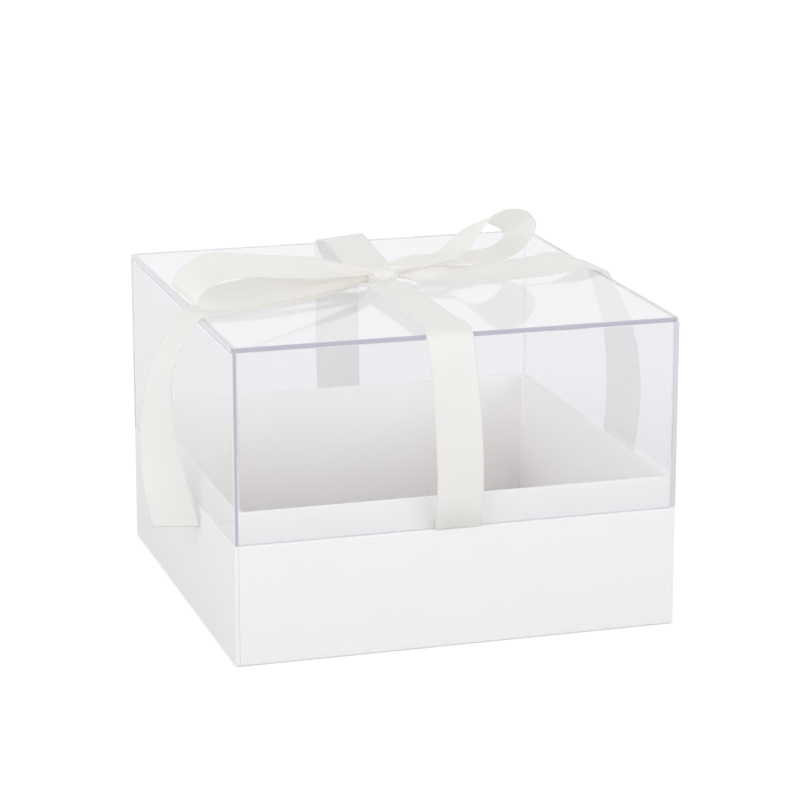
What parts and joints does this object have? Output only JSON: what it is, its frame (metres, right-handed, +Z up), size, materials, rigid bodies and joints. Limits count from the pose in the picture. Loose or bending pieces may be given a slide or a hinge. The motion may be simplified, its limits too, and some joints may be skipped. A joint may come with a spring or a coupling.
{
  "type": "acrylic flower box",
  "caption": "Square white board base with a raised neck under a clear acrylic lid that lifts off, banded with satin ribbon tied in a bow on top.",
  "frame": {"origin": "the middle of the box's underside, on the surface it stands on", "axes": "+X to the right, -Y the front, +Z up, the way the lid lifts"},
  "size_m": [0.2955, 0.2582, 0.2021],
  "materials": {
    "white_paper": "matte",
    "greyboard": "matte",
    "gummed_tape": "matte",
    "acrylic": "polished",
    "ribbon": "satin"
  },
  "bodies": {
    "base": {"underside_sheet": "white_paper", "outer_wrap_paper": "white_paper", "tray_floor_board": "greyboard", "tray_front_board": "greyboard", "tray_back_board": "greyboard", "tray_left_board": "greyboard", "tray_right_board": "greyboard", "corner_tape_front_left": "gummed_tape", "corner_tape_front_right": "gummed_tape", "corner_tape_back_left": "gummed_tape", "corner_tape_back_right": "gummed_tape", "neck_front_board": "greyboard", "neck_back_board": "greyboard", "neck_left_board": "greyboard", "neck_right_board": "greyboard", "neck_wrap_paper": "white_paper", "floor_liner_card": "white_paper"},
    "lid": {"lid_top_panel": "acrylic", "lid_front_panel": "acrylic", "lid_back_panel": "acrylic", "lid_left_panel": "acrylic", "lid_right_panel": "acrylic", "band_ribbon": "ribbon", "bow_knot": "ribbon", "bow_left_loop": "ribbon", "bow_right_loop": "ribbon", "bow_left_tail": "ribbon", "bow_right_tail": "ribbon"}
  },
  "joints": [
    {"name": "lid_lift", "type": "slide", "parent": "base", "child": "lid", "axis": [0, 0, 1], "range_m": [0, 0.15]}
  ]
}
